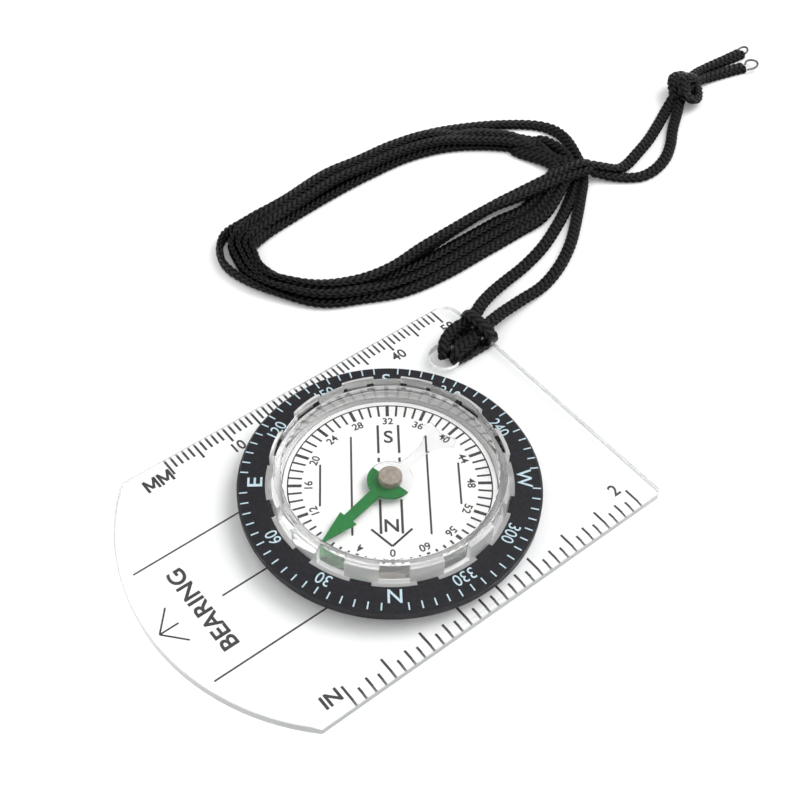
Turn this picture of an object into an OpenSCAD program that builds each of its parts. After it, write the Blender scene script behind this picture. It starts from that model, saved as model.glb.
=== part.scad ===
// Baseplate compass with a turning dial and a braided neck lanyard.
// +Z is up, +Y is the direction of travel, +X is the millimetre side.
// The origin is the middle of the baseplate's outline, on the surface the compass lies on.

/* [Baseplate] */
// Length of the baseplate along the direction of travel
plate_l = 70; // [68:0.5:76]
// Width of the baseplate
plate_w = 48; // [47:0.5:54]
// Thickness of the baseplate
plate_t = 1.4; // [1.2:0.1:2]
// Height of the baseplate's underside above the surface it lies on
plate_z = 1; // [1:0.1:1.4]
// Rise of the curved front edge over its two corners
front_rise = 10; // [8:0.5:12]
// Radius of the corner beside the lanyard hole
hole_corner_r = 3; // [2:0.5:5]
// Width of the bevel along both scale edges
bevel_w = 0.8; // [0.4:0.1:1]
// Depth of the bevel along both scale edges
bevel_h = 0.4; // [0.2:0.1:0.6]
// Radius of the lanyard hole
lanyard_hole_r = 2.5; // [2:0.1:2.8]
// Lanyard hole's place across the baseplate
lanyard_hole_x = 15; // [14:0.5:16]
// Lanyard hole's place along the baseplate
lanyard_hole_y = -27; // [-28:0.5:-26.5]

/* [Dial] */
// Dial axis along the baseplate
dial_y = -4.5; // [-5:0.1:-4]
// Bearing set on the dial, in degrees
bearing = 53.7; // [0:0.1:359]
// Outer radius of the bezel ring
ring_r = 21.6; // [21:0.1:22]
// Height of the bezel ring
ring_h = 1.65; // [1.5:0.05:2]
// Inner radius of the bezel ring's teeth
teeth_r = 17.15; // [17.1:0.05:17.3]
// Number of key lugs between the capsule and the ring
lugs = 12; // [6:1:12]
// Radius of the key lugs
key_r = 17.6; // [17.4:0.1:17.8]
// Arc of one key lug, in degrees
key_arc = 20; // [16:1:20]
// Radius of the capsule's side wall
capsule_r = 16.35; // [16.2:0.05:16.4]
// Radius of the capsule's upper lugs
grip_r = 17.05; // [16.8:0.05:17.05]
// Arc of one upper lug, in degrees
grip_arc = 16; // [12:1:18]
// Height of the capsule's top above the surface
capsule_top = 7.6; // [7.4:0.1:8.4]
// Thickness of the capsule's window
window_t = 1; // [0.8:0.1:1.1]
// Inner radius of the capsule
chamber_r = 15.3; // [15.2:0.1:15.5]
// Radius of the dial base's flange under the baseplate
flange_r = 18.2; // [17.8:0.1:18.6]

/* [Needle] */
// Needle heading, counter-clockwise from the direction of travel, in degrees
heading = 10.9; // [0:0.1:359]
// Length of the needle from the pivot to its north tip
needle_n = 14.4; // [13.5:0.1:14.6]
// Length of the needle from the pivot to its south tail
needle_s = 12; // [11:0.1:13]
// Radius of the needle's hub disc
hub_r = 3.3; // [3:0.1:3.6]
// Radius of the magnet
magnet_r = 1.7; // [1.6:0.1:2]
// Height of the magnet
magnet_h = 1.45; // [1:0.05:1.6]

/* [Lanyard] */
// Width of the flattened braided cord
cord_w = 2.2; // [1.8:0.1:2.3]
// Thickness of the flattened braided cord
cord_t = 1.2; // [1:0.1:1.2]
// Height of the coiled bundle, two layers of cord
coil_h = 2.6; // [2.4:0.1:3]

/* [Hidden] */

round_fn = 144;                       // facets of a large true circle
eps = 0.01;
clear_gap = 0.07;                     // running clearance between dial and baseplate

// Baseplate outline: the front edge is one arc through both corners and the middle.
half_w = plate_w / 2;
half_l = plate_l / 2;
front_r = (half_w * half_w + front_rise * front_rise) / (2 * front_rise);
plate_top = plate_z + plate_t;
corner_r = 0.8;

// Heights of the stacked dial parts.
flange_t = plate_z - 0.1;
ring_z = plate_top + 0.1;
ring_top = ring_z + ring_h;
lip_top = ring_z + 0.6;
floor_top = flange_t;
window_z = capsule_top - window_t;
skirt_r = capsule_r + 0.33;
plate_hole_r = skirt_r + clear_gap;
key_pitch = 360 / lugs;

// Needle heights: the hub rides on a pin that ends in a point inside the cup.
needle_t = 0.5;
needle_z = floor_top + 1.3;
needle_top = needle_z + needle_t;
pin_r = 0.35;
cup_r = 0.8;
cup_h = 0.65;
shaft_w = 1.5;
head_w = 3;
head_y = 8.8;
tail_w = 6.2;

// Routes of the free cord, from the hitch to the cut ends.
lead_a_route = [[18.4, -36, 3.1], [20, -39, 2.5], [21.6, -42.8, 1.6], [22.8, -47, 0.9], [23.8, -52, 0.6],
                [25.4, -57.6, 0.6], [27.8, -63, 0.6], [30.4, -67.8, 0.6], [34.2, -73.2, 0.6]];
lead_b_route = [[15.8, -37.4, 3], [16.8, -41, 2.1], [17.6, -45.6, 1.3], [18.4, -51.2, 0.6],
                [20.2, -56.6, 0.6], [23.2, -62, 0.6], [27, -67, 0.6], [30.8, -71.6, 0.6],
                [34.6, -75.8, 0.6], [37.2, -78.2, 0.9]];
tail_a_route = [[36.6, -70.8, 3], [36.2, -75.2, 2.6], [35, -78, 2.1], [33.4, -80, 1.7], [32.2, -82.2, 1.1],
                [32.5, -84.9, 0.6], [33.7, -88.9, 0.6], [35.2, -93.3, 0.6], [37.4, -98.2, 0.6],
                [39.6, -102.8, 0.9], [40.8, -106, 2]];
tail_b_route = [[35.4, -71.5, 3], [34.6, -75.2, 2.3], [33.6, -77.8, 1.4], [31.8, -79.8, 0.9],
                [30, -82, 0.6], [28.5, -84.6, 0.6], [28.4, -88, 0.6], [29.6, -92, 0.6], [31.8, -95.6, 0.6],
                [34.6, -99.1, 0.6], [37.3, -103, 0.9], [39.4, -106, 2]];
end_a_route = [[42.2, -111, 2], [43.6, -114.2, 1.2], [44, -117.2, 0.7], [44.2, -121, 0.6],
               [44.1, -124.6, 0.6], [44, -128.6, 0.6]];
end_b_route = [[41, -110.6, 2], [41.8, -113.8, 1.2], [41.9, -116.8, 0.7], [41.7, -119.8, 0.6],
               [41, -122.6, 0.6], [40, -125.4, 0.6]];
knot_at = [40.9, -108.6, 2.4];
// Outline of the coil, counter-clockwise from its end beside the tails.
coil_outer = [[39.2, -79.2], [45.2, -80.8], [50.9, -80.1], [55.5, -75.5], [59.2, -69], [62, -62],
              [63.4, -54], [63.7, -46], [64.1, -38.6], [62.6, -29.4], [61.7, -21.4], [59.8, -14.7],
              [54.6, -11.3], [48.5, -11.9], [42.9, -14.3], [36.6, -18.8], [33, -25.4], [30.2, -32],
              [29.3, -40], [29.4, -48], [29.6, -56], [30, -63.5], [34.2, -72.2], [36, -76]];
coil_inner = [[40, -70.2], [44, -70.8], [47.6, -69.5], [50.5, -67.4], [53.2, -63.6], [55.7, -58.2],
              [57, -52], [57.2, -46], [57.2, -40], [56.8, -35], [56, -29], [55.2, -24.5], [53.8, -20.4],
              [51.4, -17.7], [47.6, -17.5], [43.8, -19.8], [40.3, -23.4], [38.4, -28], [37.9, -34],
              [38.3, -41], [38.9, -47], [39.2, -55], [39, -63], [38.6, -68.6]];

function unit(v) = v / norm(v);
function tangent(p, i) = unit(p[min(i + 1, len(p) - 1)] - p[max(i - 1, 0)]);
function side(t) = unit(cross(t, [0, 0, 1]));
// One ring of a swept band: the ellipse w wide and t thick across the route at point i.
function ring(p, i, w, t, n) =
    let (along = tangent(p, i), s = side(along), u = cross(s, along))
    [for (k = [0:n - 1]) p[i] + w / 2 * cos(360 * k / n) * s + t / 2 * sin(360 * k / n) * u];

// A flattened cord swept along the route p.
module cord(p, t = cord_t, n = 8) {
    last = len(p) - 1;
    points = [for (i = [0:last]) each ring(p, i, cord_w, t, n)];
    walls = [for (i = [0:last - 1], k = [0:n - 1])
             [i * n + k, i * n + (k + 1) % n, (i + 1) * n + (k + 1) % n, (i + 1) * n + k]];
    first_cap = [for (k = [n - 1:-1:0]) k];
    last_cap = [for (k = [0:n - 1]) last * n + k];
    polyhedron(points, concat(walls, [first_cap, last_cap]), convexity = 6);
}

module on_dial() {
    translate([0, dial_y, 0]) rotate(bearing) children();
}

module on_needle() {
    translate([0, dial_y, 0]) rotate(heading) children();
}

// A ring-shaped band between two radii.
module band(r_out, r_in, h) {
    difference() {
        cylinder(r = r_out, h = h, $fn = round_fn);
        translate([0, 0, -eps]) cylinder(r = r_in, h = h + 2 * eps, $fn = round_fn);
    }
}

// Sectors of a disc, one per lug, each arc degrees wide and turned by phase.
module sectors(r, h, arc, phase) {
    reach = r * 1.1;
    half = tan(arc / 2) * reach;
    intersection() {
        cylinder(r = r, h = h, $fn = round_fn);
        for (k = [0:lugs - 1]) rotate(90 + phase + k * key_pitch)
            linear_extrude(h) polygon([[0, 0], [reach, -half], [reach, half]]);
    }
}

// Baseplate outline without its bevels and holes.
module plate_outline() {
    offset(r = corner_r, $fn = 32) offset(delta = -corner_r) intersection() {
        union() {
            translate([0, half_l - front_r]) circle(r = front_r, $fn = 120);
            translate([-plate_w, -plate_l]) square([2 * plate_w, plate_l]);
        }
        difference() {
            translate([-half_w, -half_l]) square([plate_w, plate_l]);
            translate([half_w - hole_corner_r, -half_l]) difference() {
                translate([0, -1]) square([hole_corner_r + 1, hole_corner_r + 1]);
                translate([0, hole_corner_r]) circle(r = hole_corner_r, $fn = 48);
            }
        }
    }
}

// Cutter for the bevel along one scale edge.
module edge_bevel() {
    cut = [[-bevel_w, 0], [0, -bevel_h], [1, -bevel_h], [1, 1], [-bevel_w, 1]];
    translate([half_w, half_l + 1, plate_top]) rotate([90, 0, 0])
        linear_extrude(plate_l + 2) polygon(cut);
}

module baseplate() {
    color([0.93, 0.95, 0.95, 0.35]) difference() {
        translate([0, 0, plate_z]) linear_extrude(plate_t) plate_outline();
        edge_bevel();
        mirror([1, 0, 0]) edge_bevel();
        translate([0, dial_y, 0]) cylinder(r = plate_hole_r, h = plate_top + 1, $fn = round_fn);
        translate([lanyard_hole_x, lanyard_hole_y, 0])
            cylinder(r = lanyard_hole_r, h = plate_top + 1, $fn = 64);
    }
}

// Floor of the capsule, which carries the printed dial and the pivot pin.
module dial_base() {
    glue_t = 0.05;
    locating_r = chamber_r - 0.05;
    color([0.95, 0.96, 0.96, 0.4]) on_dial() difference() {
        union() {
            cylinder(r = flange_r, h = floor_top - glue_t, $fn = round_fn);
            cylinder(r = locating_r, h = floor_top, $fn = round_fn);
        }
        translate([0, 0, -eps]) cylinder(r = pin_r, h = capsule_top, $fn = 32);
    }
}

// Clear cap: skirt through the baseplate, key lugs in the ring, grip lugs and window above.
module capsule_cover() {
    rim_r = 0.4;
    color([0.93, 0.95, 0.95, 0.35]) on_dial() difference() {
        union() {
            translate([0, 0, flange_t]) cylinder(r = skirt_r, h = lip_top - flange_t, $fn = round_fn);
            translate([0, 0, lip_top]) sectors(key_r, ring_top - lip_top - 0.05, key_arc, 0);
            translate([0, 0, lip_top])
                sectors(grip_r, capsule_top - lip_top - rim_r, grip_arc, key_pitch / 2);
            translate([0, 0, capsule_top - rim_r])
                sectors(grip_r - rim_r, rim_r, grip_arc, key_pitch / 2);
            cylinder(r = capsule_r, h = capsule_top - rim_r, $fn = round_fn);
            translate([0, 0, capsule_top - rim_r]) rotate_extrude($fn = round_fn) window_edge(rim_r);
        }
        translate([0, 0, -eps]) cylinder(r = chamber_r, h = window_z + eps, $fn = round_fn);
        translate([0, 0, -1]) cylinder(r = skirt_r + 1, h = flange_t + 1, $fn = round_fn);
    }
}

// Profile of the window's rounded upper edge.
module window_edge(rim_r) {
    intersection() {
        square([capsule_r, rim_r]);
        union() {
            square([capsule_r - rim_r, rim_r]);
            translate([capsule_r - rim_r, 0]) circle(r = rim_r, $fn = 32);
        }
    }
}

// Black graduated ring, with a lip that the capsule's key lugs hold down.
module bezel_ring() {
    top_bevel = 0.35;
    color([0.2, 0.2, 0.22]) on_dial() difference() {
        translate([0, 0, ring_z]) union() {
            cylinder(r = ring_r, h = ring_h - top_bevel, $fn = round_fn);
            translate([0, 0, ring_h - top_bevel])
                cylinder(r1 = ring_r, r2 = ring_r - top_bevel, h = top_bevel, $fn = round_fn);
        }
        cylinder(r = skirt_r + 0.05, h = capsule_top, $fn = round_fn);
        translate([0, 0, lip_top]) cylinder(r = teeth_r, h = capsule_top, $fn = round_fn);
        translate([0, 0, lip_top]) sectors(key_r + 0.05, capsule_top, key_arc + 0.6, 0);
    }
}

module pivot_pin() {
    point_h = 0.8;
    tip_z = needle_top + cup_h - 0.25;
    color([0.75, 0.76, 0.78]) on_dial() {
        cylinder(r = pin_r, h = tip_z - point_h, $fn = 32);
        translate([0, 0, tip_z - point_h]) cylinder(r1 = pin_r, r2 = 0.05, h = point_h, $fn = 32);
    }
}

// Flat arrow: a narrow shaft, a broad head to the north and a forked tail to the south.
module needle_outline() {
    fork = 0.8;
    tip_x = tail_w / 2;
    half_tail = [[shaft_w / 2, -6.8], [0.95, -8], [1.5, -needle_s + 2.8], [2.3, -needle_s + 1.9],
                 [tip_x, -needle_s + 1.4], [tip_x - 0.7, -needle_s + 0.1]];
    half_head = [[head_w / 2, head_y], [shaft_w / 2, head_y]];
    right = concat(half_head, half_tail);
    last = len(right) - 1;
    left = [for (i = [last:-1:0]) [-right[i].x, right[i].y]];
    polygon(concat([[0, needle_n]], right, [[0, -needle_s + fork]], left));
}

module needle_arrow() {
    color([0.16, 0.55, 0.29]) on_needle() translate([0, 0, needle_z]) difference() {
        union() {
            linear_extrude(needle_t) needle_outline();
            cylinder(r = hub_r, h = needle_t, $fn = 96);
        }
        translate([0, 0, -eps]) cylinder(r = cup_r, h = needle_t + 2 * eps, $fn = 48);
    }
}

// Magnet disc with a blind socket underneath for the pivot cup.
module needle_magnet() {
    edge = 0.15;
    color([0.66, 0.61, 0.55]) on_needle() translate([0, 0, needle_top]) difference() {
        union() {
            cylinder(r = magnet_r, h = magnet_h - edge, $fn = 64);
            translate([0, 0, magnet_h - edge])
                cylinder(r1 = magnet_r, r2 = magnet_r - edge, h = edge, $fn = 64);
        }
        translate([0, 0, -eps]) cylinder(r = cup_r, h = cup_h + eps, $fn = 48);
    }
}

// Hard bearing cup that sits on the pin's point.
module pivot_cup() {
    color([0.8, 0.66, 0.32]) on_needle() translate([0, 0, needle_z]) difference() {
        cylinder(r = cup_r, h = needle_t + cup_h, $fn = 48);
        translate([0, 0, -eps]) cylinder(r = 0.55, h = needle_t + cup_h - 0.6, $fn = 32);
        translate([0, 0, needle_t + cup_h - 0.61]) cylinder(r1 = 0.55, r2 = 0.06, h = 0.46, $fn = 32);
    }
}

// Cow hitch: a loop of cord over the plate's end, with both leads under the plate and through it.
module lanyard_hitch() {
    over_z = plate_top + cord_t / 2 + 0.05;
    under_t = plate_z - 0.1;
    under_z = plate_z / 2;
    leg_a = [[15.3, -27.2, over_z], [16.8, -28.9, over_z], [17.7, -31.1, over_z], [18, -33.4, over_z],
             [17.8, -36.2, over_z]];
    leg_b = [[14.5, -27.6, over_z], [14.9, -29.9, over_z], [15, -32, over_z], [14.8, -34, over_z],
             [14.4, -36.2, over_z]];
    under_a = [[15.6, -27.6, under_z], [16.1, -30, under_z], [16.3, -33, under_z], [16.6, -36.2, under_z]];
    under_b = [[14.4, -27.6, under_z], [14, -30, under_z], [14, -33, under_z], [14.4, -36.2, under_z]];
    color([0.08, 0.08, 0.09]) {
        cord(leg_a);
        cord(leg_b);
        cord(under_a, under_t);
        cord(under_b, under_t);
        translate([lanyard_hole_x, lanyard_hole_y, 0.05]) cylinder(r = 2, h = over_z - 0.05, $fn = 24);
        translate([12.8, -37.6, 0.05]) cube([6.4, 2.4, over_z + 0.85]);
    }
}

module lanyard_lead_a() {
    color([0.08, 0.08, 0.09]) cord(lead_a_route);
}

module lanyard_lead_b() {
    color([0.08, 0.08, 0.09]) cord(lead_b_route);
}

module lanyard_coil() {
    color([0.08, 0.08, 0.09]) linear_extrude(coil_h) difference() {
        polygon(coil_outer);
        polygon(coil_inner);
    }
}

module lanyard_tail_a() {
    color([0.08, 0.08, 0.09]) cord(tail_a_route);
}

module lanyard_tail_b() {
    color([0.08, 0.08, 0.09]) cord(tail_b_route);
}

// Overhand knot of both strands, as a stubby barrel lying across the cord.
module lanyard_knot() {
    knot_r = 2.3;
    half = 3.7;
    profile = [[0, -half], [1.3, -half], [knot_r, -1.6], [knot_r, 1.6], [1.3, half], [0, half]];
    color([0.08, 0.08, 0.09]) translate(knot_at) rotate([0, 90, -45])
        rotate_extrude($fn = 32) polygon(profile);
}

module lanyard_end_a() {
    color([0.08, 0.08, 0.09]) cord(end_a_route);
}

module lanyard_end_b() {
    color([0.08, 0.08, 0.09]) cord(end_b_route);
}

baseplate();
dial_base();
capsule_cover();
bezel_ring();
pivot_pin();
needle_arrow();
needle_magnet();
pivot_cup();
lanyard_hitch();
lanyard_lead_a();
lanyard_lead_b();
lanyard_coil();
lanyard_tail_a();
lanyard_tail_b();
lanyard_knot();
lanyard_end_a();
lanyard_end_b();
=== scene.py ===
"""Looks of the baseplate compass: a clear ruled plate, a turning dial and a braided neck lanyard."""

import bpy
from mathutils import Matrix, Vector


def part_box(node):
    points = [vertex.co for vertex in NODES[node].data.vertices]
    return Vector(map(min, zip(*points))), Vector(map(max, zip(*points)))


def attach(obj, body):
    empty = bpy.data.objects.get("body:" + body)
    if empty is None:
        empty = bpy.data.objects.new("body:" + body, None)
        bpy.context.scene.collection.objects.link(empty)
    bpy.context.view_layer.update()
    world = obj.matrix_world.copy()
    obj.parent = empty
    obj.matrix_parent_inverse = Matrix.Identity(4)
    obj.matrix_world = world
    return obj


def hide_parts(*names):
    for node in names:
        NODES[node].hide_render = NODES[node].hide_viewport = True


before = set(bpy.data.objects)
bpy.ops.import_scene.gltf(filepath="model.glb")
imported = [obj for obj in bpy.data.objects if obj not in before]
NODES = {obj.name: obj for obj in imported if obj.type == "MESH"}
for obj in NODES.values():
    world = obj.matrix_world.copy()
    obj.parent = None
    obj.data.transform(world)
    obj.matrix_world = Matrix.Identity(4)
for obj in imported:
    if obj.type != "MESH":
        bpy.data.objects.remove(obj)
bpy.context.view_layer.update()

import math

import bmesh
import bpy
import numpy as np
from mathutils import Matrix, Quaternion, Vector

MM = 0.001
UP = np.array([0.0, 0.0, 1.0])

# Places that come from the frame, in millimetres.
PLATE_LOW, PLATE_HIGH = (np.array(corner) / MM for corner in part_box("baseplate"))
RING_LOW, RING_HIGH = (np.array(corner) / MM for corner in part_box("bezel_ring"))
DIAL_X, DIAL_Y = ((RING_LOW + RING_HIGH) / 2)[:2]
RING_R = (RING_HIGH[0] - RING_LOW[0]) / 2
RING_TOP = RING_HIGH[2]
FLOOR_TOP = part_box("dial_base")[1].z / MM
NEEDLE_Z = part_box("needle_arrow")[0].z / MM
NEEDLE_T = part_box("needle_arrow")[1].z / MM - NEEDLE_Z

# Sizes that a box doesn't give, in millimetres.
CAPSULE_R = 16.35   # radius of the clear capsule's wall
CHAMBER_R = 15.3    # radius of the chamber inside it
WINDOW_T = 1.0      # thickness of its window
BEARING = 53.7      # degrees from the direction of travel to the dial's north
HEADING = 10.9      # degrees from the direction of travel to the needle's north


# ---------------------------------------------------------------- camera

def make_camera():
    """A near view from the plate's front left, looking down on the dial, with a slight roll."""
    data = bpy.data.cameras.new("camera")
    data.sensor_width = 36
    data.lens = 57.67
    data.clip_start = 0.005
    camera = bpy.data.objects.new("camera", data)
    bpy.context.scene.collection.objects.link(camera)
    place = Vector((-84.29, 64.975, 148.597)) * MM
    towards = Vector((0.49949, -0.41918, -0.75816))
    roll = math.radians(2.079)
    turn = towards.to_track_quat("-Z", "Y") @ Quaternion((0, 0, 1), roll)
    camera.matrix_world = Matrix.Translation(place) @ turn.to_matrix().to_4x4()
    bpy.context.scene.camera = camera


# ---------------------------------------------------------------- materials

def new_material(name):
    """An empty node material, with its tree and its output node."""
    material = bpy.data.materials.new(name)
    material.use_nodes = True
    tree = material.node_tree
    tree.nodes.clear()
    output = tree.nodes.new("ShaderNodeOutputMaterial")
    return material, tree, output


def add_node(tree, kind, **values):
    """A shader node with its inputs set by name."""
    node = tree.nodes.new(kind)
    for key, value in values.items():
        node.inputs[key.replace("_", " ")].default_value = value
    return node


def grain_bump(tree, shader, scale, strength, distance, detail=4):
    """Fine noise in the object's own space, as a bump on the shader."""
    coords = tree.nodes.new("ShaderNodeTexCoord")
    noise = add_node(tree, "ShaderNodeTexNoise", Scale=scale, Detail=detail)
    bump = add_node(tree, "ShaderNodeBump", Strength=strength, Distance=distance)
    tree.links.new(coords.outputs["Object"], noise.inputs["Vector"])
    tree.links.new(noise.outputs["Fac"], bump.inputs["Height"])
    tree.links.new(bump.outputs["Normal"], shader.inputs["Normal"])
    return noise


def tinted(tree, noise, shader, socket, dark, light):
    """Varies one socket of the shader between two values along a noise."""
    ramp = tree.nodes.new("ShaderNodeValToRGB")
    ramp.color_ramp.elements[0].position = 0.35
    ramp.color_ramp.elements[0].color = dark
    ramp.color_ramp.elements[1].position = 0.65
    ramp.color_ramp.elements[1].color = light
    tree.links.new(noise.outputs["Fac"], ramp.inputs["Fac"])
    tree.links.new(ramp.outputs["Color"], shader.inputs[socket])


def calc(tree, operation, *values):
    """A math node on numbers or other nodes' outputs."""
    node = tree.nodes.new("ShaderNodeMath")
    node.operation = operation
    for socket, value in zip(node.inputs, values):
        if isinstance(value, (int, float)):
            socket.default_value = value
        else:
            tree.links.new(value, socket)
    return node.outputs["Value"]


def distance(tree, x, y):
    """How far a point is from the origin, from its two coordinates."""
    squares = calc(tree, "ADD", calc(tree, "MULTIPLY", x, x), calc(tree, "MULTIPLY", y, y))
    return calc(tree, "SQRT", squares)


def position(tree):
    """The shaded point's x and y, in metres."""
    place = tree.nodes.new("ShaderNodeNewGeometry")
    split = tree.nodes.new("ShaderNodeSeparateXYZ")
    tree.links.new(place.outputs["Position"], split.inputs["Vector"])
    return split.outputs["X"], split.outputs["Y"]


FRONT_RISE = 10     # rise of the plate's front arc over its two corners
ARRIS_W = 0.3       # how far the painted grey line along the arris reaches inside the plate's outline
# The grey painted along the plate's outline, as painted shade of its edges.
PAINTED_EDGE_TINT = (0.45, 0.48, 0.47, 1)


def arris(tree):
    """1 at the plate's outline, falling to 0 a little inside its sides, its back and its front arc."""
    half_w = PLATE_HIGH[0] * MM
    rise = FRONT_RISE * MM
    front_r = (half_w**2 + rise**2) / (2 * rise)
    front_y = PLATE_HIGH[1] * MM - front_r
    x, y = position(tree)
    forward = calc(tree, "MAXIMUM", calc(tree, "SUBTRACT", y, front_y), 0.0)
    reach = distance(tree, x, forward)
    side = calc(tree, "SUBTRACT", half_w, calc(tree, "ABSOLUTE", x))
    back = calc(tree, "SUBTRACT", y, PLATE_LOW[1] * MM)
    front = calc(tree, "SUBTRACT", front_r, reach)
    depth = calc(tree, "MINIMUM", calc(tree, "MINIMUM", side, back), front)
    near = add_node(tree, "ShaderNodeMapRange", From_Max=ARRIS_W * MM, To_Min=1.0, To_Max=0.0)
    tree.links.new(depth, near.inputs["Value"])
    return near.outputs["Result"]


MILKY_CLEARNESS = 0.7       # how clear the lugs of the capsule are


def clear_plastic(name, tint, roughness, shade, ior=1.49, cut_edge=0.0, milky_beyond=0.0,
                  edge_tint=(0.93, 0.94, 0.93, 1), painted_edge_shade=0.0):
    """Clear acrylic that refracts the view and lets the lamps' light through, dimmed by shade.
    Upright faces are paler by cut_edge, where a saw or the mould's wall left them less clear, and
    take the colour edge_tint. The arris round the plate is painted greyer by the last argument, as
    painted shade that draws the thin grey line the plate's edges show. All that stands further from
    the dial's axis than milky_beyond, in millimetres, is milky. Both need a cut_edge too."""
    material, tree, output = new_material(name)
    glass = add_node(tree, "ShaderNodeBsdfPrincipled", Base_Color=tint, Roughness=roughness, IOR=ior,
                     Transmission_Weight=1.0)
    through = add_node(tree, "ShaderNodeBsdfTransparent", Color=shade)
    path = tree.nodes.new("ShaderNodeLightPath")
    mix = tree.nodes.new("ShaderNodeMixShader")
    grain_bump(tree, glass, 900, 0.02, 0.00002)
    if cut_edge:
        geometry = tree.nodes.new("ShaderNodeNewGeometry")
        split = tree.nodes.new("ShaderNodeSeparateXYZ")
        tree.links.new(geometry.outputs["True Normal"], split.inputs["Vector"])
        flat = calc(tree, "ABSOLUTE", split.outputs["Z"])
        clear = add_node(tree, "ShaderNodeMapRange", To_Min=1 - cut_edge)
        edge = tree.nodes.new("ShaderNodeValToRGB")
        edge.color_ramp.elements[0].color = edge_tint
        edge.color_ramp.elements[1].color = tint
        tree.links.new(flat, clear.inputs["Value"])
        tree.links.new(flat, edge.inputs["Fac"])
        clearness, colour = clear.outputs["Result"], edge.outputs["Color"]
        # Painted shade: a grey line laid along the plate's outline on its flat faces, for the thin grey
        # line its edges show.
        if painted_edge_shade:
            near = calc(tree, "MULTIPLY", arris(tree), flat)
            greyed = tree.nodes.new("ShaderNodeMix")
            greyed.data_type = "RGBA"
            greyed.inputs["B"].default_value = PAINTED_EDGE_TINT
            tree.links.new(near, greyed.inputs["Factor"])
            tree.links.new(colour, greyed.inputs["A"])
            left = calc(tree, "SUBTRACT", 1.0, calc(tree, "MULTIPLY", near, painted_edge_shade))
            clearness, colour = calc(tree, "MULTIPLY", left, clearness), greyed.outputs["Result"]
        if milky_beyond:
            x, y = position(tree)
            off_x, off_y = calc(tree, "SUBTRACT", x, DIAL_X * MM), calc(tree, "SUBTRACT", y, DIAL_Y * MM)
            inside = calc(tree, "LESS_THAN", distance(tree, off_x, off_y), milky_beyond * MM)
            share = add_node(tree, "ShaderNodeMapRange", To_Min=MILKY_CLEARNESS)
            tree.links.new(inside, share.inputs["Value"])
            clearness = calc(tree, "MULTIPLY", share.outputs["Result"], clearness)
        tree.links.new(clearness, glass.inputs["Transmission Weight"])
        tree.links.new(colour, glass.inputs["Base Color"])
    tree.links.new(path.outputs["Is Shadow Ray"], mix.inputs["Fac"])
    tree.links.new(glass.outputs["BSDF"], mix.inputs[1])
    tree.links.new(through.outputs["BSDF"], mix.inputs[2])
    tree.links.new(mix.outputs["Shader"], output.inputs["Surface"])
    return material


def solid(name, dark, light, roughness, scale, strength, distance, **values):
    """An opaque material whose colour wanders between two tones, with a fine grain."""
    material, tree, output = new_material(name)
    shader = add_node(tree, "ShaderNodeBsdfPrincipled", Roughness=roughness, **values)
    noise = grain_bump(tree, shader, scale, strength, distance)
    tinted(tree, noise, shader, "Base Color", dark, light)
    tree.links.new(shader.outputs["BSDF"], output.inputs["Surface"])
    return material


def rgb(*levels):
    """A linear colour from sRGB levels of 0 to 255."""
    linear = [v / 255 / 12.92 if v < 11 else ((v / 255 + 0.055) / 1.055) ** 2.4 for v in levels]
    return (*linear, 1.0)


def cord_material():
    """Black polyester braid with fine filaments along each plait. Its colour is painted paler on the
    crown of each plait and black in the creases, as painted shade, and its specular level rises towards
    the crowns, as a painted highlight."""
    material, tree, output = new_material("braid_black")
    shader = add_node(tree, "ShaderNodeBsdfPrincipled", Roughness=0.33, Specular_IOR_Level=0.4)
    uv = tree.nodes.new("ShaderNodeUVMap")
    uv.uv_map = "braid"
    wave = add_node(tree, "ShaderNodeTexWave", Scale=1.0, Distortion=0.6, Detail=1.0)
    wave.bands_direction = "Y"
    bump = add_node(tree, "ShaderNodeBump", Strength=0.5, Distance=0.00004)
    crown = tree.nodes.new("ShaderNodeAttribute")
    crown.attribute_name = "plait"
    # Painted shade: the braid's colour goes black in the creases and paler on the crowns.
    ramp = tree.nodes.new("ShaderNodeValToRGB")
    ramp.color_ramp.elements[0].position = 0.35
    ramp.color_ramp.elements[0].color = rgb(1, 1, 1)
    ramp.color_ramp.elements[1].color = rgb(5, 5, 6)
    # Painted highlight: the specular level rises from the creases to the crowns.
    sheen = add_node(tree, "ShaderNodeMapRange", To_Min=0.0, To_Max=0.28)
    tree.links.new(uv.outputs["UV"], wave.inputs["Vector"])
    tree.links.new(wave.outputs["Fac"], bump.inputs["Height"])
    tree.links.new(crown.outputs["Fac"], ramp.inputs["Fac"])
    tree.links.new(crown.outputs["Fac"], sheen.inputs["Value"])
    tree.links.new(sheen.outputs["Result"], shader.inputs["Specular IOR Level"])
    tree.links.new(ramp.outputs["Color"], shader.inputs["Base Color"])
    tree.links.new(bump.outputs["Normal"], shader.inputs["Normal"])
    tree.links.new(shader.outputs["BSDF"], output.inputs["Surface"])
    return material


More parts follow.
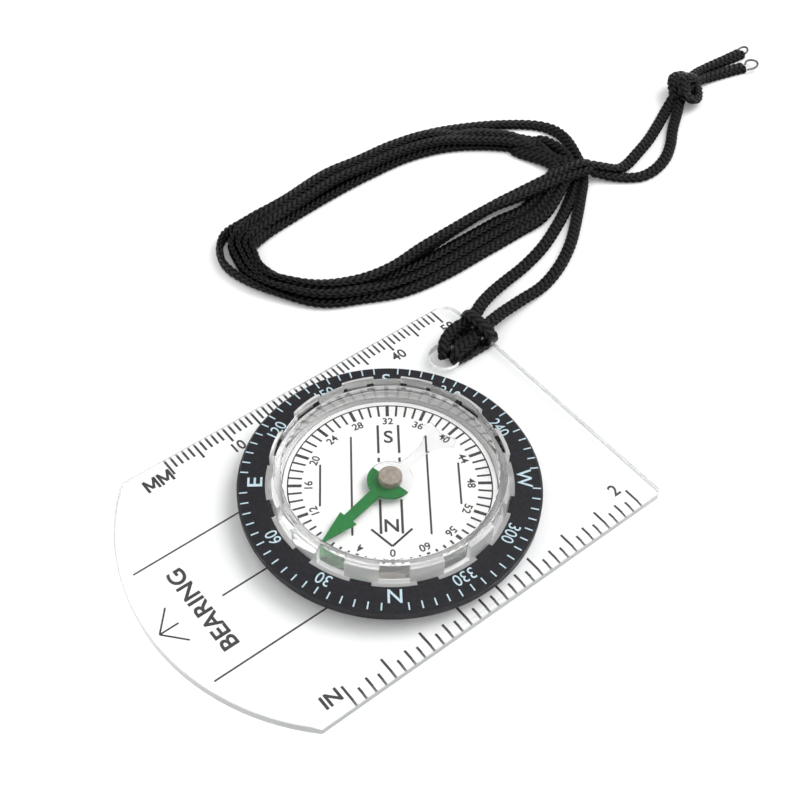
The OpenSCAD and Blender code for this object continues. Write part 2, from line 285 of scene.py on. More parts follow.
def make_materials():
    """Every material of the compass, by a short name."""
    return {
        # On the plate, the grey edge_tint of the upright faces and the grey along the arris are painted
        # shade that draws the thin lines its edges show.
        "plate": clear_plastic("acrylic_plate", (0.99, 0.993, 0.992, 1), 0.0, (0.97, 0.97, 0.97, 1),
                               cut_edge=0.4, edge_tint=(0.82, 0.84, 0.83, 1), painted_edge_shade=0.4),
        "dial": clear_plastic("acrylic_dial", (0.99, 0.99, 0.99, 1), 0.0, (0.98, 0.98, 0.98, 1),
                              cut_edge=0.5),
        "cover": clear_plastic("acrylic_cover", (0.99, 0.99, 0.985, 1), 0.0, (0.98, 0.98, 0.98, 1),
                               cut_edge=0.12, milky_beyond=CAPSULE_R + 0.02),
        "fluid": clear_plastic("damping_fluid", (0.99, 0.99, 0.99, 1), 0.0, (1, 1, 1, 1), ior=1.33),
        "tail": clear_plastic("needle_clear", (0.95, 0.95, 0.95, 1), 0.1, (0.9, 0.9, 0.9, 1), ior=1.1),
        "ring": solid("ring_black", rgb(22, 22, 27), rgb(32, 32, 37), 0.5, 2500, 0.25, 0.00003,
                      Specular_IOR_Level=0.25),
        "green": solid("needle_green", rgb(8, 112, 44), rgb(16, 126, 54), 0.5, 1500, 0.1, 0.00002,
                       Specular_IOR_Level=0.2),
        "magnet": solid("magnet_grey", rgb(150, 140, 128), rgb(176, 166, 154), 0.4, 1800, 0.2, 0.00002,
                        Metallic=0.6),
        "steel": solid("pin_steel", rgb(170, 172, 176), rgb(196, 198, 202), 0.25, 1200, 0.1, 0.00001,
                       Metallic=1.0),
        "brass": solid("cup_brass", rgb(190, 150, 80), rgb(214, 176, 100), 0.3, 1200, 0.1, 0.00001,
                       Metallic=1.0),
        "dark": solid("print_dark", rgb(36, 28, 28), rgb(52, 42, 40), 0.6, 3000, 0.2, 0.00001),
        "black": solid("print_black", rgb(20, 18, 20), rgb(34, 30, 32), 0.6, 3000, 0.2, 0.00001),
        "white": solid("dial_white", rgb(246, 246, 246), rgb(250, 250, 250), 0.7, 2000, 0.05, 0.00001,
                       Specular_IOR_Level=0.1),
        "pale": solid("print_pale", rgb(168, 194, 206), rgb(194, 214, 222), 0.6, 3000, 0.2, 0.00001),
        "cord": cord_material(),
        "fused": solid("fused_tip", rgb(34, 34, 36), rgb(120, 120, 124), 0.35, 900, 0.4, 0.00008),
    }


# ---------------------------------------------------------------- cord

CORD_W, CORD_T = 2.15, 1.2      # width and thickness of the flattened braid
BRAID_COLUMNS = 6               # columns of slanted plaits round the cord
BRAID_PITCH = 1.15              # length of one plait along the cord
BRAID_DEPTH = 0.5               # height of a plait's crown over its creases
BRAID_REST = 0.88               # the height in the braid, of 1, that lies on the cord's plain outline
RING_STEP = 0.2                 # distance between the mesh's rings along a cord
RING_POINTS = 32
TABLE_GAP = 0.02                # the least height of a cord over the table

# Routes from the plate's hole to the cut ends.
LEAD_A = [(14.9, -27.1, 1.7), (15.3, -27.2, 2.7), (15.9, -27.7, 3.05), (16.9, -28.9, 3.05),
          (17.8, -31, 3.05), (18, -33.2, 3.05), (17.9, -34.8, 3.05), (18.4, -36.2, 3.1),
          (20, -39, 2.5), (21.6, -42.8, 1.6), (22.8, -47, 0.9), (23.8, -52, 0.6),
          (25.4, -57.6, 0.6), (27.8, -63, 0.6), (30.4, -67.8, 0.6), (34.2, -73.2, 0.6)]
LEAD_B = [(13.7, -27.6, 1.7), (13.7, -28.1, 2.7), (14, -29.2, 3.05), (14.3, -31, 3.05),
          (14.7, -32.6, 3.05), (15.2, -34.2, 3.05), (15.4, -35.8, 3.1), (15.8, -37.4, 3),
          (16.8, -41, 2.1), (17.6, -45.6, 1.3), (18.4, -51.2, 0.6), (20.2, -56.6, 0.6),
          (23.2, -62, 0.6), (27, -67, 0.6), (30.8, -71.6, 0.6), (34.6, -75.8, 0.6)]
TAIL_A = [(36.2, -75.2, 2.6), (35, -78, 2.1), (33.4, -80, 1.7), (32.2, -82.2, 1.1),
          (32.5, -84.9, 0.6), (33.7, -88.9, 0.6), (35.2, -93.3, 0.6), (37.4, -98.2, 0.6),
          (39.6, -102.8, 0.9), (40.8, -106, 2)]
TAIL_B = [(34.6, -75.2, 2.3), (33.6, -77.8, 1.4), (31.8, -79.8, 0.9), (30, -82, 0.6), (28.5, -84.6, 0.6),
          (28.4, -88, 0.6), (29.6, -92, 0.6), (31.8, -95.6, 0.6), (34.6, -99.1, 0.6), (37.3, -103, 0.9),
          (39.4, -106, 2)]
END_A = [(42.2, -111, 2), (43.6, -114.2, 1.2), (44.3, -117.4, 0.7), (44.1, -121, 0.6),
         (43.8, -124.6, 0.6), (43.6, -128.6, 0.6)]
END_B = [(41, -110.6, 2), (41.8, -113.8, 1.2), (41.8, -116.8, 0.7), (41.3, -119.8, 0.6),
         (40.7, -122.6, 0.6), (40, -125.2, 0.6)]

# The coil, station by station round its outside: the outer edge's x and y, the cords' roll in
# degrees, then how far inwards and how high each of the five strands lies there. Where a strand
# cuts the corner it has no place at that station.
COIL = [
    (39.2, -79.2, 60, (0.6, 2.4, 5.3, None, None), (1.1, 1.1, 1.1, 1.1, 1.1)),
    (45.4, -81.6, 35, (0.9, 4.5, 6.5, 8.7, 10.5), (1.0, 0.9, 0.9, 1.2, 0.8)),
    (50.9, -80.7, 10, (1.1, 6.1, 8.1, None, None), (0.6, 0.7, 1.3, 1.7, 0.6)),
    (55.5, -75.5, 0, (1.1, 4.8, 5.9, 7.6, 7.9), (0.6, 0.6, 1.75, 1.75, 0.6)),
    (59.2, -69.0, 0, (1.1, 3.9, 4.4, 6.3, 6.6), (0.6, 0.6, 1.75, 1.75, 0.6)),
    (62.0, -62.0, 0, (1.1, 2.5, 3.6, 5.0, 5.8), (0.6, 1.6, 0.6, 1.75, 0.6)),
    (63.4, -54.0, 0, (1.1, 2.2, 3.2, 4.4, 5.3), (0.6, 1.75, 0.6, 1.75, 0.6)),
    (63.7, -46.0, 0, (1.1, 2.2, 3.2, 4.3, 5.3), (0.6, 1.75, 0.6, 1.75, 0.6)),
    (64.1, -38.6, 0, (1.1, 2.2, 3.6, 4.4, 5.9), (0.6, 1.75, 0.6, 1.75, 0.6)),
    (62.6, -29.4, 0, (1.0, 2.1, 3.1, 4.1, 5.2), (0.6, 1.75, 0.6, 1.75, 0.6)),
    (61.7, -21.4, 30, (0.9, 2.1, 3.2, 4.3, 5.4), (0.7, 1.5, 0.8, 1.6, 0.8)),
    (59.8, -14.7, 80, (0.6, 2.4, 3.7, 4.9, 6.1), (1.1, 1.1, 1.1, 1.1, 1.1)),
    (54.6, -11.3, 90, (0.6, 2.9, 4.1, 5.2, 6.2), (1.1, 1.1, 1.1, 1.1, 1.1)),
    (48.5, -11.9, 75, (0.6, 1.8, 2.8, 3.8, 4.7), (1.1, 1.1, 1.3, 1.1, 1.1)),
    (42.9, -14.3, 40, (0.9, 1.8, 2.6, 3.6, 4.2), (0.8, 1.7, 0.8, 1.7, 0.8)),
    (36.6, -18.8, 15, (1.0, 2.2, 2.9, 4.3, 4.8), (0.6, 1.7, 0.6, 1.7, 0.6)),
    (33.0, -25.4, 0, (1.05, 1.9, 4.0, 4.3, 5.0), (0.6, 1.7, 0.6, 1.75, 0.6)),
    (30.2, -32.0, 0, (1.05, 3.0, 5.3, 6.0, 6.7), (0.6, 0.9, 0.6, 1.75, 0.6)),
    (29.3, -40.0, 0, (1.05, 3.2, 5.4, 7.5, 7.7), (0.6, 0.6, 0.6, 1.7, 0.6)),
    (29.4, -48.0, 0, (1.1, 3.3, 5.45, 7.8, 8.4), (0.6, 0.6, 0.6, 1.7, 0.6)),
    (29.6, -56.0, 0, (1.1, 3.25, 5.4, 7.9, 8.8), (0.6, 0.6, 0.6, 1.7, 0.6)),
    (30.0, -63.5, 0, (1.1, 3.0, 4.9, 6.9, 8.2), (1.0, 0.7, 0.6, 1.8, 1.3)),
    (34.2, -72.2, 20, (0.9, 2.4, 3.9, 4.8, 5.6), (1.8, 1.8, 1.5, 1.8, 1.6)),
    (36.4, -76.0, 40, (0.7, 2.4, 4.5, 5.9, 7.2), (1.5, 1.5, 1.3, 1.5, 1.3)),
]
COIL_EDGE = np.array([station[:2] for station in COIL])


def coil_point(i, lane):
    """Where strand number lane passes station i, with its roll."""
    before, after = COIL_EDGE[i - 1], COIL_EDGE[(i + 1) % len(COIL)]
    along = (after - before) / np.linalg.norm(after - before)
    inward = np.array([-along[1], along[0]])
    _, _, roll, offsets, heights = COIL[i]
    x, y = COIL_EDGE[i] + inward * offsets[lane]
    return (x, y, heights[lane], roll)


def level(points):
    """The points with no roll."""
    return [(*p, 0) for p in points]


def strand_route(lead, lanes, tail, through, end):
    """One half of the lanyard: its lead, its turns round the coil, its tail, the knot and its cut end.
    The last turn leaves the coil two stations early, for the tail."""
    points = level(lead)
    for lane in lanes:
        last_turn = lane == lanes[-1]
        stations = [i for i in range(len(COIL) - 2 * last_turn) if COIL[i][3][lane] is not None]
        points += [coil_point(i, lane) for i in stations]
    return points + level([*tail, *through, *end])


def smooth(points, step):
    """A Catmull-Rom curve through the points, as points step apart."""
    p = np.array(points, float)
    padded = np.vstack([2 * p[0] - p[1], p, 2 * p[-1] - p[-2]])
    t = np.linspace(0, 1, 12, endpoint=False)[:, None]
    pieces = []
    for a, b, c, d in zip(padded, padded[1:], padded[2:], padded[3:]):
        pieces.append(0.5 * (2 * b + (c - a) * t + (2 * a - 5 * b + 4 * c - d) * t**2
                             + (3 * b - a - 3 * c + d) * t**3))
    curve = np.vstack([*pieces, p[-1:]])
    gaps = np.linalg.norm(np.diff(curve[:, :3], axis=0), axis=1)
    along = np.concatenate([[0], np.cumsum(gaps)])
    at = np.linspace(0, along[-1], int(along[-1] / step) + 1)
    return np.stack([np.interp(at, along, curve[:, k]) for k in range(curve.shape[1])], axis=1)


def braid_height(along, around):
    """Height of the braid's surface, from 0 to 1: slanted plaits in columns that mirror each other."""
    lean, fullness, roundness = 0.5, 0.7, 0.8
    column = np.floor(around * BRAID_COLUMNS)
    across = 2 * (around * BRAID_COLUMNS - column) - 1
    slant = np.where(column % 2 == 0, lean, -lean)
    phase = along / BRAID_PITCH + slant * across
    plait = np.abs(np.sin(math.pi * phase)) ** fullness
    crown = np.sqrt(1 - roundness * across**2)
    return plait * crown


def tube(name, curve, width, thickness, braided=True, upright=None, flare=0.0):
    """A flat cord swept along curve, whose rows are x, y, z and roll, in millimetres. Its width
    lies level, or along upright, and it widens towards its last end by flare."""
    place = curve[:, :3]
    tangent = np.gradient(place, axis=0)
    tangent /= np.linalg.norm(tangent, axis=1)[:, None]
    side = np.cross(tangent, UP)
    if upright:
        side = np.array(upright, float) - tangent * (tangent @ upright)[:, None]
    side /= np.linalg.norm(side, axis=1)[:, None]
    normal = np.cross(side, tangent)
    roll = np.radians(curve[:, 3])[:, None]
    flat = np.cos(roll) * side + np.sin(roll) * normal
    thick = np.cos(roll) * normal - np.sin(roll) * side
    around = np.arange(RING_POINTS) / RING_POINTS
    angle = 2 * math.pi * around
    squareness = 0.8
    across = np.sign(np.cos(angle)) * np.abs(np.cos(angle)) ** squareness
    height = np.sign(np.sin(angle)) * np.abs(np.sin(angle)) ** squareness
    gaps = np.linalg.norm(np.diff(place, axis=0), axis=1)
    along = np.concatenate([[0], np.cumsum(gaps)])
    offset = (flat[:, None] * (across * width / 2)[None, :, None]
              + thick[:, None] * (height * thickness / 2)[None, :, None])
    if braided:
        plait = braid_height(along[:, None], around[None])
        relief = BRAID_DEPTH * (plait - BRAID_REST)
        reach = np.linalg.norm(offset, axis=2)
        offset *= (1 + relief / reach)[:, :, None]
    else:
        plait = np.ones((len(place), RING_POINTS))
    flared = 10         # length of the widened part
    closed = 0.55       # size of the first and last ring, which rounds the ends off
    ends = np.ones(len(place))
    ends += flare * np.clip(1 - (along[-1] - along) / flared, 0, 1) ** 0.5
    ends[[0, -1]] = closed
    points = (place[:, None] + offset * ends[:, None, None]).reshape(-1, 3)
    points[:, 2] = np.maximum(points[:, 2], TABLE_GAP)
    points *= MM
    return tube_mesh(name, points, len(place), along, plait)


def tube_mesh(name, points, rings, along, plait):
    """Joins rings of RING_POINTS points into a closed tube, with the braid's UV map and heights."""
    n = RING_POINTS
    ring = np.arange(rings - 1)[:, None] * n
    k = np.arange(n)[None]
    following = (k + 1) % n
    quads = np.stack([ring + k, ring + following, ring + n + following, ring + n + k], axis=2)
    caps = [list(range(n - 1, -1, -1)), list(range((rings - 1) * n, rings * n))]
    mesh = bpy.data.meshes.new(name)
    mesh.from_pydata(points.tolist(), [], quads.reshape(-1, 4).tolist() + caps)
    uv = mesh.uv_layers.new(name="braid")
    index = np.zeros(len(mesh.loops), int)
    mesh.loops.foreach_get("vertex_index", index)
    fineness = 3        # how close together the filaments lie along a plait
    u = along[index // n] / BRAID_PITCH
    v = (index % n) / n * BRAID_COLUMNS
    uv.data.foreach_set("uv", np.stack([v, u * fineness], axis=1).ravel())
    crown = mesh.attributes.new("plait", "FLOAT", "POINT")
    crown.data.foreach_set("value", plait.ravel())
    mesh.polygons.foreach_set("use_smooth", [True] * len(mesh.polygons))
    piece = bpy.data.objects.new(name, mesh)
    bpy.context.scene.collection.objects.link(piece)
    return piece


def finish_piece(piece, body, material):
    """Puts a piece on its body and its only material."""
    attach(piece, body)
    piece.data.materials.clear()
    piece.data.materials.append(material)
    return piece


def make_lanyard(mats):
    """Both halves of the cord, the hitch, the knot and the frayed ends."""
    knot_a = [(41.4, -107.4, 2.6), (42, -109.4, 2.6)]
    knot_b = [(39.9, -107.4, 2.6), (40.5, -109.2, 2.6)]
    routes = {
        "cord_a": (strand_route(LEAD_A, (1, 3), TAIL_B, knot_b, END_B),
                   ("lanyard_lead_a", "lanyard_tail_b", "lanyard_end_b")),
        "cord_b": (strand_route(LEAD_B, (0, 2, 4), TAIL_A, knot_a, END_A),
                   ("lanyard_lead_b", "lanyard_coil", "lanyard_tail_a", "lanyard_end_a")),
    }
    for name, (route, nodes) in routes.items():
        curve = smooth(route, RING_STEP)
        cord = tube(name, curve, CORD_W, CORD_T, flare=0.25)
        finish_piece(cord, "plate", mats["cord"])
        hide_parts(*nodes)
    make_hitch(mats)
    make_knot(mats)
    make_frays(mats)


def make_hitch(mats):
    """The bight of the cow hitch: under the plate from its hole, round the edge and over both leads."""
    band = [(18.5, -35.5, 0.8), (19.3, -35.4, 1.8), (19.3, -35.1, 2.8), (18.7, -34.9, 3.7),
            (17.6, -34.7, 4.2), (16.4, -34.6, 4.3), (15.1, -34.7, 4.2), (14.1, -34.9, 3.7),
            (13.5, -35.2, 2.8), (13.4, -35.5, 1.8), (13.9, -35.5, 0.8)]
    under_a = [(15.6, -28.2, 0.8), (16.4, -30.6, 0.5), (17.4, -33.6, 0.5), (18.5, -35.7, 0.7)]
    under_b = [(13.9, -27.9, 0.8), (13.9, -30.6, 0.5), (13.9, -33.6, 0.5), (13.8, -35.7, 0.7)]
    pressed = 0.8       # thickness of the strands between the plate and the table
    strands = {
        "hitch_band": (band, 2.3, 1.3, (0, 1, 0)),
        "hitch_under_a": (under_a, CORD_W, pressed, None),
        "hitch_under_b": (under_b, CORD_W, pressed, None),
    }
    for name, (route, width, thickness, upright) in strands.items():
        strand = tube(name, smooth(level(route), RING_STEP), width, thickness, upright=upright)
        finish_piece(strand, "plate", mats["cord"])
        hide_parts("lanyard_hitch")


def make_knot(mats):
    """The overhand knot that ties both strands together."""
    loop = [(39.6, -105.2, 1.8), (41.6, -106.2, 3), (43.3, -108, 3.2), (43.4, -110.4, 2.8),
            (41.6, -111.5, 2.2), (39.6, -110.6, 1.6), (38, -108.8, 1.7), (37.7, -106.9, 2.4),
            (38.9, -106.1, 3.4), (40.4, -107.2, 4.1), (41.2, -109, 4.2), (41.4, -111, 3.4),
            (41.9, -112.4, 2.2)]
    knot = tube("knot", smooth(level(loop), RING_STEP), 2.5, 1.5)
    finish_piece(knot, "plate", mats["cord"])
    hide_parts("lanyard_knot")


def make_frays(mats):
    """Where each end was cut and singed: a stiff curled tag."""
    tags = {
        "fray_a": [(44.6, -128.2, 0.8), (44.6, -129.4, 1), (44, -130.1, 1.1), (43.2, -129.7, 1),
                   (42.9, -128.8, 0.9), (43.2, -128, 0.7)],
        "fray_b": [(38.9, -124.8, 0.8), (38.3, -126, 1), (38.4, -127.1, 1.2), (39.3, -127.9, 1.2),
                   (40.3, -127.7, 1.1), (40.8, -126.8, 1), (40.4, -125.8, 0.7)],
    }
    for name, route in tags.items():
        tag = tube(name, smooth(level(route), RING_STEP / 2), 0.42, 0.38, braided=False)
        finish_piece(tag, "plate", mats["fused"])


# ---------------------------------------------------------------- print

INK = 0.02              # thickness of a printed mark
CAP_HEIGHT = 0.729      # capitals of the built-in font, as a share of its size


class Marks:
    """Collects flat printed marks in one sheet: strokes, rings and letters, in millimetres."""

    def __init__(self, z):
        self.mesh = bmesh.new()
        self.z = z

    def prism(self, outline):
        """A closed flat mark of ink with this outline."""
        low = [self.mesh.verts.new((x, y, self.z)) for x, y in outline]
        high = [self.mesh.verts.new((x, y, self.z + INK)) for x, y in outline]
        count = len(outline)
        self.mesh.faces.new(high)
        self.mesh.faces.new(low[::-1])
        for i in range(count):
            j = (i + 1) % count
            self.mesh.faces.new((low[i], low[j], high[j], high[i]))

    def stroke(self, start, end, width):
        """A straight mark with square ends."""
        a, b = np.array(start, float), np.array(end, float)
        along = (b - a) / np.linalg.norm(b - a)
        out = np.array([-along[1], along[0]]) * width / 2
        self.prism([a - out, b - out, b + out, a + out])

    def ring(self, radius, width, steps=180):
        """A circle, as short marks end to end."""
        angles = [2 * math.pi * i / steps for i in range(steps)]
        for a, b in zip(angles, angles[1:] + angles[:1]):
            near, far = radius - width / 2, radius + width / 2
            corners = [(near, a), (far, a), (far, b), (near, b)]
            self.prism([(r * math.cos(t), r * math.sin(t)) for r, t in corners])

    def text(self, words, middle, height, turn, width=1.0, weight=0.0):
        """Words centred on middle, with capitals of that height, turned by degrees."""
        font = bpy.data.curves.new("words", "FONT")
        font.body = words
        font.size = height / CAP_HEIGHT
        font.align_x = "CENTER"
        font.offset = weight
        font.extrude = INK / 2
        font.resolution_u = 6
        carrier = bpy.data.objects.new("words", font)
        letters = bpy.data.meshes.new_from_object(carrier)
        spin = Matrix.Rotation(math.radians(turn), 4, "Z")
        place = Matrix.Translation((middle[0], middle[1], self.z + INK / 2))
        squeeze = Matrix.Diagonal((width, 1, 1, 1))
        centre = Matrix.Translation((0, -height / 2, 0))
        letters.transform(place @ spin @ squeeze @ centre)
        self.mesh.from_mesh(letters)
        bpy.data.objects.remove(carrier)
        bpy.data.meshes.remove(letters)
        bpy.data.curves.remove(font)

    def piece(self, name, body, slot, material, turn=0.0, centre=(0, 0)):
        """The marks as one piece, turned about and moved to centre."""
        mesh = bpy.data.meshes.new(name)
        self.mesh.to_mesh(mesh)
        self.mesh.free()
        spin = Matrix.Rotation(math.radians(turn), 4, "Z")
        mesh.transform(Matrix.Scale(MM, 4) @ Matrix.Translation((*centre, 0)) @ spin)
        piece = bpy.data.objects.new(name, mesh)
        bpy.context.scene.collection.objects.link(piece)
        return finish_piece(piece, body, material)


def clockwise(radius, degrees):
    """A point at a bearing from north, on a dial whose north is +Y."""
    angle = math.radians(degrees)
    return np.array([radius * math.sin(angle), radius * math.cos(angle)])


LINE_W, TICK_W = 0.26, 0.36     # widths of the plate's lines and of its rulers' ticks
RULED_EDGE = 23.9               # how far the ticks reach from the plate's middle
FIGURE_WEIGHT = 0.045


def rule_millimetres(marks):
    """A tick each millimetre, longer at the fives, figures at the tens, and two letters M."""
    zero, count = 18.1, 50
    for i in range(count + 1):
        y = zero - i
        inner = 21.15 if i % 5 == 0 else 22.1
        marks.stroke((inner, y), (RULED_EDGE, y), TICK_W)
    for i in range(10, count + 1, 10):
        marks.text(str(i), (20.0, zero - i), 1.8, -90, width=0.95, weight=FIGURE_WEIGHT)
    corners = [(-0.85, -1.1), (-0.85, 1.1), (0, -0.7), (0.85, 1.1), (0.85, -1.1)]
    for y in (21.75, 19.45):
        letter_m = [(21.5 + v, y - u) for u, v in corners]
        for start, end in zip(letter_m, letter_m[1:]):
            marks.stroke(start, end, 0.42)


def rule_inches(marks):
    """A tick each sixteenth of an inch, longer at the eighths and the quarters."""
    zero, inch = 19.35, 25.4
    for i in range(33):
        y = zero - i * inch / 16
        inner = 20.4 if i % 4 == 0 else 21.3 if i % 2 == 0 else 21.84
        marks.stroke((-inner, y), (-RULED_EDGE, y), TICK_W)
    marks.text("IN", (-20.9, 21.4), 2.0, -90, width=1.05, weight=0.07)
    marks.text("2", (-19.3, -30.1), 2.0, -90, weight=FIGURE_WEIGHT)


def print_plate(mats):
    """Both rulers, the travel lines, the arrow and its word, on the plate's underside. They cast no
    shadow, because light reaches the table through the clear plate from all round."""
    marks = Marks(PLATE_LOW[2] - 0.01 - INK)
    rule_millimetres(marks)
    rule_inches(marks)
    travel_lines = {10: 31.6, 0: 23.9, -10: 31.7}
    under_ring = RING_R - 0.6
    for x, y in travel_lines.items():
        inner = math.sqrt(under_ring**2 - x**2) + DIAL_Y
        marks.stroke((x, y), (x, inner), LINE_W)
    tip, barb = (0, 33.6), 30.9
    marks.stroke(tip, (0, 30.7), LINE_W)
    for side in (-3.05, 3.05):
        marks.stroke(tip, (side, barb), LINE_W)
    marks.text("BEARING", (0, 27.2), 2.45, 0, width=1.08, weight=0.07)
    ink = marks.piece("plate_print", "plate", "print_dark", mats["black"])
    ink.visible_shadow = False
    ink.visible_diffuse = False


def print_ring(mats):
    """Degrees on the bezel: a tick every 5 degrees, numbers every 30, letters at the quarters."""
    marks = Marks(RING_TOP + 0.005)
    letters = {0: "N", 90: "E", 180: "S", 270: "W"}
    for degrees in range(0, 360, 5):
        if degrees not in letters:
            marks.stroke(clockwise(20.1, degrees), clockwise(21.24, degrees), 0.2)
    for degrees in range(0, 360, 30):
        if degrees in letters:
            wide = 1.3 if letters[degrees] == "E" else 1.0
            marks.text(letters[degrees], clockwise(19.1, degrees), 2.2, -degrees, width=wide, weight=0.02)
        else:
            marks.text(str(degrees), clockwise(18.8, degrees), 1.85, -degrees, width=0.9)
    marks.piece("ring_print", "dial", "print_pale", mats["pale"], BEARING, (DIAL_X, DIAL_Y))


def print_dial(mats):
    """The mil circle on the dial's floor, its letters and the lines that the needle is read against."""
    marks = Marks(FLOOR_TOP + 0.01)
    outer = 14.5
    marks.ring(outer, 0.2)
    for i in range(64):
        degrees = i * 360 / 64
        bold = i % 4 == 0
        marks.stroke(clockwise(12.5, degrees), clockwise(outer, degrees), 0.5 if bold else 0.32)
        if bold:
            marks.text(str(i), clockwise(11.6, degrees), 1.2, -degrees, weight=0.035)
    for x in (-1.5, 1.5):
        marks.stroke((x, 8.4), (x, 2.6), 0.36)
        marks.stroke((x, -4), (x, -4.8), 0.36)
        marks.stroke((x, -5.6), (x, -10.8), 0.36)
    for x in (-5.45, 5.45):
        marks.stroke((x, -8.7), (x, 8.6), 0.3)
    for x in (-9.9, 9.9):
        marks.stroke((x, -3.7), (x, 3.6), 0.3)
    for x in (-2.85, 2.85):
        marks.stroke((0, 10.45), (x, 7.6), 0.34)
    marks.text("N", (0, 7.1), 2.2, 0, weight=0.05)
    marks.text("S", (0, -8.7), 2.3, 180, weight=0.05)
    marks.piece("dial_print", "dial", "print_dark", mats["dark"], BEARING, (DIAL_X, DIAL_Y))


# ---------------------------------------------------------------- capsule

def lathe(name, profile, steps=180):
    """A closed solid turned round the dial's axis from an open profile of radius and height."""
    mesh = bmesh.new()
    rings = []
    for r, z in profile:
        if r == 0:
            rings.append([mesh.verts.new((DIAL_X, DIAL_Y, z))] * steps)
            continue
        turns = [2 * math.pi * i / steps for i in range(steps)]
        places = [(DIAL_X + r * math.cos(t), DIAL_Y + r * math.sin(t), z) for t in turns]
        rings.append([mesh.verts.new(place) for place in places])
    for low, high in zip(rings, rings[1:]):
        for i in range(steps):
            j = (i + 1) % steps
            corners = dict.fromkeys((low[i], low[j], high[j], high[i]))
            mesh.faces.new(corners)
    data = bpy.data.meshes.new(name)
    mesh.to_mesh(data)
    mesh.free()
    data.transform(Matrix.Scale(MM, 4))
    piece = bpy.data.objects.new(name, data)
    bpy.context.scene.collection.objects.link(piece)
    return piece


def make_fluid(mats):
    """The dial's white face, and over it the liquid that fills the capsule and steadies the needle."""
    window_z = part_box("capsule_cover")[1].z / MM - WINDOW_T
    wetted = 0.06       # the liquid's skin lies this far inside the plastic, so no air is between
    fluid_r = CHAMBER_R + wetted
    low, high = FLOOR_TOP + 0.007, window_z + wetted
    card_r, card_low, card_high = CHAMBER_R - 0.1, FLOOR_TOP + 0.002, low - 0.001
    card = lathe("dial_card", [(0, card_low), (card_r, card_low), (card_r, card_high), (0, card_high)])
    finish_piece(card, "dial", mats["white"])
    corner = 0.15
    profile = [(0, low), (fluid_r - corner, low), (fluid_r, low + corner), (fluid_r, high - corner),
               (fluid_r - corner, high), (0, high)]
    finish_piece(lathe("capsule_fluid", profile), "dial", mats["fluid"])


# ---------------------------------------------------------------- needle

def needle_outline(north):
    """The outline of one half of the needle, cut across at the hub round the pivot's cup."""
    shaft, hub, socket = 0.75, 3.3, 0.8
    head, head_y, tip = 1.5, 8.8, 14.4
    tail_x, tail_y, fork = 3.1, 12.0, 0.8
    steps = 24
    arc = [math.pi * i / steps for i in range(steps + 1)]
    meet = math.asin(shaft / hub)
    rim = [(hub * math.cos(t), hub * math.sin(t)) for t in arc if t < math.pi / 2 - meet]
    notch = [(socket * math.cos(t), socket * math.sin(t)) for t in reversed(arc)]
    if north:
        side, end = [(shaft, head_y), (head, head_y)], (0, tip)
    else:
        side = [(shaft, 6.8), (0.95, 8), (1.5, tail_y - 2.8), (2.3, tail_y - 1.9), (tail_x, tail_y - 1.4),
                (tail_x - 0.7, tail_y - 0.1)]
        end = (0, tail_y - fork)
    right = rim + side
    outline = right + [end] + [(-x, y) for x, y in reversed(right)] + notch
    if north:
        return outline
    return [(x, -y) for x, y in reversed(outline)]


def needle_half(name, north, material):
    """Half of the needle: a bevelled flat plate."""
    outline = needle_outline(north)
    mesh = bmesh.new()
    low = [mesh.verts.new((x, y, NEEDLE_Z)) for x, y in outline]
    high = [mesh.verts.new((x, y, NEEDLE_Z + NEEDLE_T)) for x, y in outline]
    mesh.faces.new(high)
    mesh.faces.new(low[::-1])
    for i in range(len(outline)):
        j = (i + 1) % len(outline)
        mesh.faces.new((low[i], low[j], high[j], high[i]))
    data = bpy.data.meshes.new(name)
    mesh.to_mesh(data)
    mesh.free()
    spin = Matrix.Rotation(math.radians(HEADING), 4, "Z")
    data.transform(Matrix.Scale(MM, 4) @ Matrix.Translation((DIAL_X, DIAL_Y, 0)) @ spin)
    piece = bpy.data.objects.new(name, data)
    bpy.context.scene.collection.objects.link(piece)
    bevel = piece.modifiers.new("edges", "BEVEL")
    bevel.width = 0.06 * MM
    bevel.segments = 2
    bevel.limit_method = "ANGLE"
    finish_piece(piece, "needle", material)
    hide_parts("needle_arrow")


# ---------------------------------------------------------------- stage

def make_floor():
    """A plain pale table top."""
    mesh = bpy.data.meshes.new("floor")
    reach, drop = 2.0, -0.00003
    mesh.from_pydata([(-reach, -reach, drop), (reach, -reach, drop), (reach, reach, drop),
                      (-reach, reach, drop)], [], [(0, 1, 2, 3)])
    floor = bpy.data.objects.new("floor", mesh)
    bpy.context.scene.collection.objects.link(floor)
    material, tree, output = new_material("paper")
    shader = add_node(tree, "ShaderNodeBsdfDiffuse", Color=(0.93, 0.93, 0.935, 1))
    tree.links.new(shader.outputs["BSDF"], output.inputs["Surface"])
    mesh.materials.append(material)


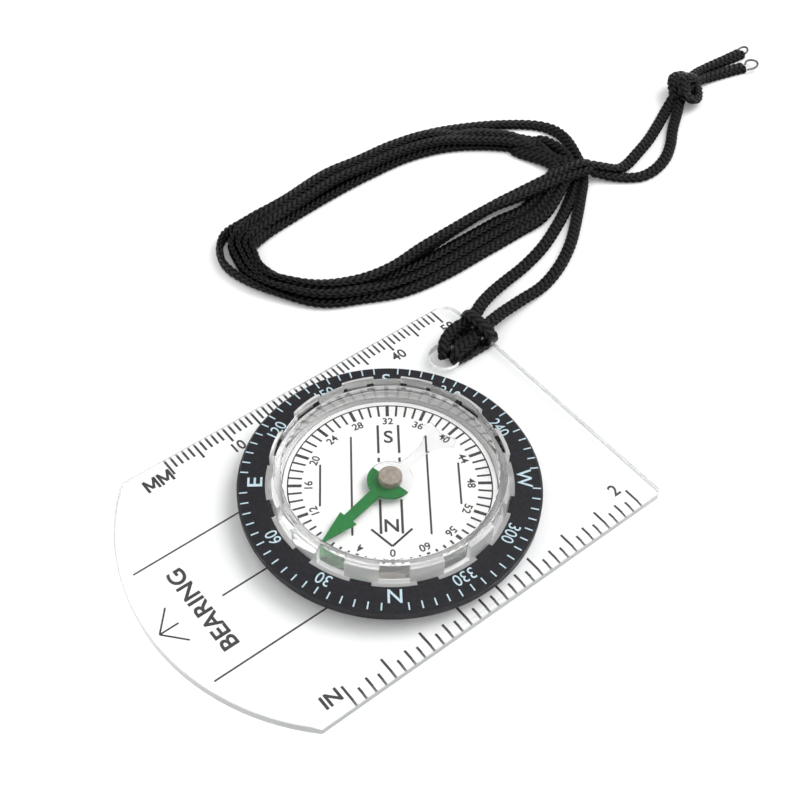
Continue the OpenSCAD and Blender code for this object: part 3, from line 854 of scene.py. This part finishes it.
def add_lamp(name, place, target, size, power):
    """A square soft lamp, size metres wide, that faces target."""
    data = bpy.data.lights.new(name, "AREA")
    data.shape = "SQUARE"
    data.size = size
    data.energy = power
    lamp = bpy.data.objects.new(name, data)
    lamp.location = place
    lamp.rotation_mode = "QUATERNION"
    lamp.rotation_quaternion = (Vector(target) - Vector(place)).to_track_quat("-Z", "Y")
    bpy.context.scene.collection.objects.link(lamp)


DARK_WALL = (0.499, -0.419, 0.758)      # the unlit side of the room, up and behind the lanyard


def light_scene():
    """White light from all round but one side, and a soft lamp."""
    scene = bpy.context.scene
    scene.view_settings.view_transform = "Standard"
    world = bpy.data.worlds.new("studio")
    world.use_nodes = True
    tree = world.node_tree
    sky = tree.nodes["Background"]
    sky.inputs["Color"].default_value = (1, 1, 1, 1)
    coords = tree.nodes.new("ShaderNodeTexCoord")
    towards = tree.nodes.new("ShaderNodeVectorMath")
    towards.operation = "DOT_PRODUCT"
    towards.inputs[1].default_value = DARK_WALL
    shade = tree.nodes.new("ShaderNodeMapRange")
    for key, value in {"From Min": 0.8, "From Max": 0.95, "To Min": 1.25, "To Max": 0.35}.items():
        shade.inputs[key].default_value = value
    tree.links.new(coords.outputs["Generated"], towards.inputs[0])
    tree.links.new(towards.outputs["Value"], shade.inputs["Value"])
    tree.links.new(shade.outputs["Result"], sky.inputs["Strength"])
    scene.world = world
    add_lamp("key", (-0.05, -0.45, 0.65), (0, 0, 0), 0.4, 2.0)


# ---------------------------------------------------------------- assembly

def main():
    """The camera, the carried nodes' materials, every other piece, the table and the light."""
    make_camera()
    mats = make_materials()
    carried = {
        "baseplate": ("plate", "clear_plate"),
        "dial_base": ("dial", "clear_dial"),
        "capsule_cover": ("cover", "clear_cover"),
        "bezel_ring": ("ring", "black_plastic"),
        "pivot_pin": ("steel", "steel"),
        "needle_magnet": ("magnet", "magnet"),
        "pivot_cup": ("brass", "brass"),
    }
    for node, (material, slot) in carried.items():
        piece = NODES[node]
        piece.data.materials.clear()
        piece.data.materials.append(mats[material])
    make_lanyard(mats)
    print_plate(mats)
    print_ring(mats)
    print_dial(mats)
    make_fluid(mats)
    needle_half("needle_north", True, mats["green"])
    needle_half("needle_south", False, mats["tail"])
    make_floor()
    light_scene()


main()
